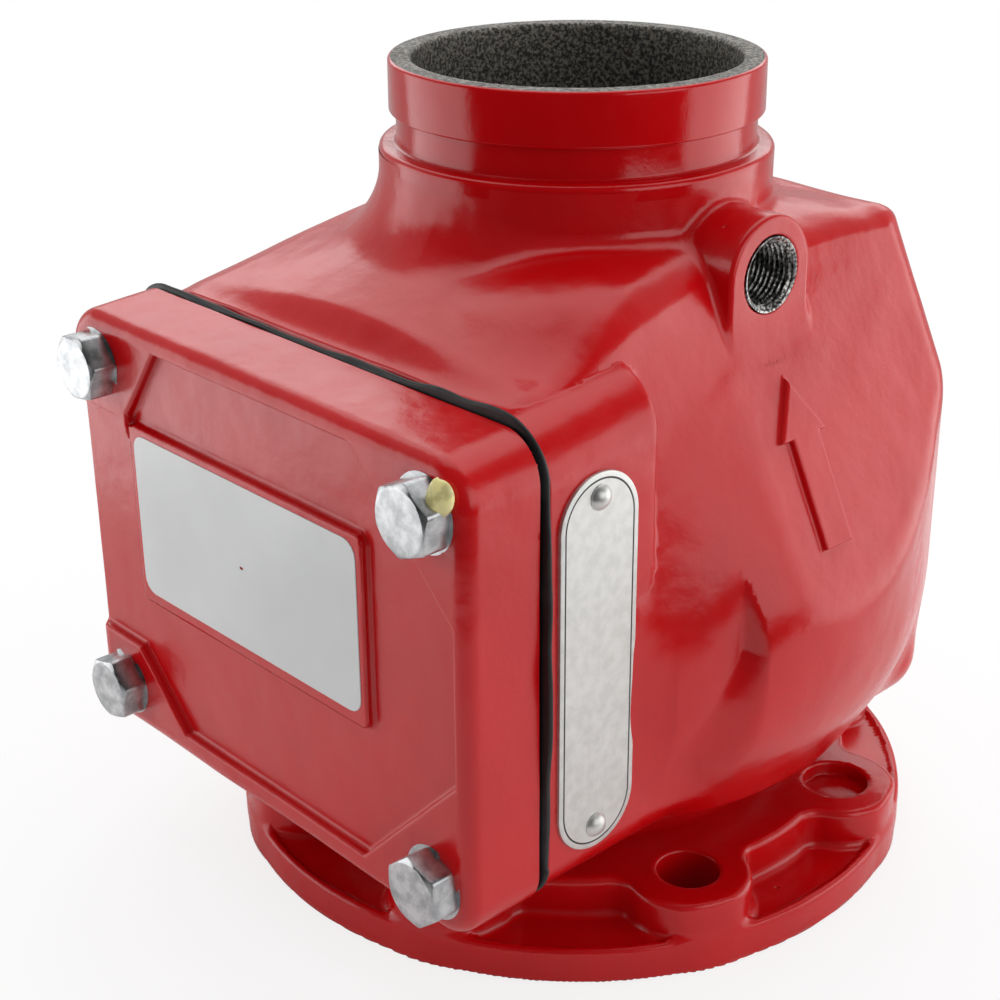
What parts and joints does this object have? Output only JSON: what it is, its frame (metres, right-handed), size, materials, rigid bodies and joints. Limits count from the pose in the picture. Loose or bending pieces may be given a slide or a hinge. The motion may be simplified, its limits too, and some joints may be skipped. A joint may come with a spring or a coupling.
{
  "type": "alarm check valve",
  "caption": "Cast non-return valve with a flanged inlet below, a grooved outlet above, a hinged clapper inside and a bolted handhole cover.",
  "frame": {"origin": "centre of the inlet flange's face", "axes": "+Z is the direction of flow, from the inlet flange to the grooved outlet; the handhole cover faces -Y and the gauge port faces +X"},
  "size_m": [0.2303, 0.2515, 0.256],
  "materials": {
    "casting": "thick red gloss enamel over cast iron",
    "bronze": "machined",
    "arm_iron": "as cast",
    "steel": "turned",
    "zinc": "bright zinc plate",
    "seal_rubber": "smooth",
    "gasket_rubber": "matt sheet",
    "plate": "satin",
    "label": "printed film, left blank"
  },
  "bodies": {
    "base": {"valve_body": "casting", "seat_ring": "bronze", "seat_seal_inner": "seal_rubber", "seat_seal_outer": "seal_rubber", "hinge_pin": "steel", "hinge_ring_front": "steel", "hinge_ring_rear": "steel", "handhole_cover": "casting", "cover_gasket": "gasket_rubber", "cover_bolt_upper_left": "zinc", "cover_bolt_upper_right": "zinc", "cover_bolt_lower_left": "zinc", "cover_bolt_lower_right": "zinc", "nameplate": "plate", "nameplate_rivet_upper": "plate", "nameplate_rivet_lower": "plate", "cover_label": "label"},
    "arm": {"clapper_arm": "arm_iron", "hinge_bushing_front": "bronze", "hinge_bushing_rear": "bronze"},
    "disc": {"clapper_disc": "bronze", "clapper_facing": "seal_rubber", "facing_retainer": "steel", "facing_bolt": "steel", "disc_washer": "steel", "disc_nut": "steel"}
  },
  "joints": [
    {"name": "clapper_hinge", "type": "hinge", "parent": "base", "child": "arm", "pos_m": [0.076, 0, 0.084], "axis": [0, 1, 0], "range_deg": [0, 60]},
    {"name": "disc_swivel", "type": "hinge", "parent": "arm", "child": "disc", "pos_m": [0, 0, 0.09], "axis": [0, 0, 1], "continuous": true}
  ]
}
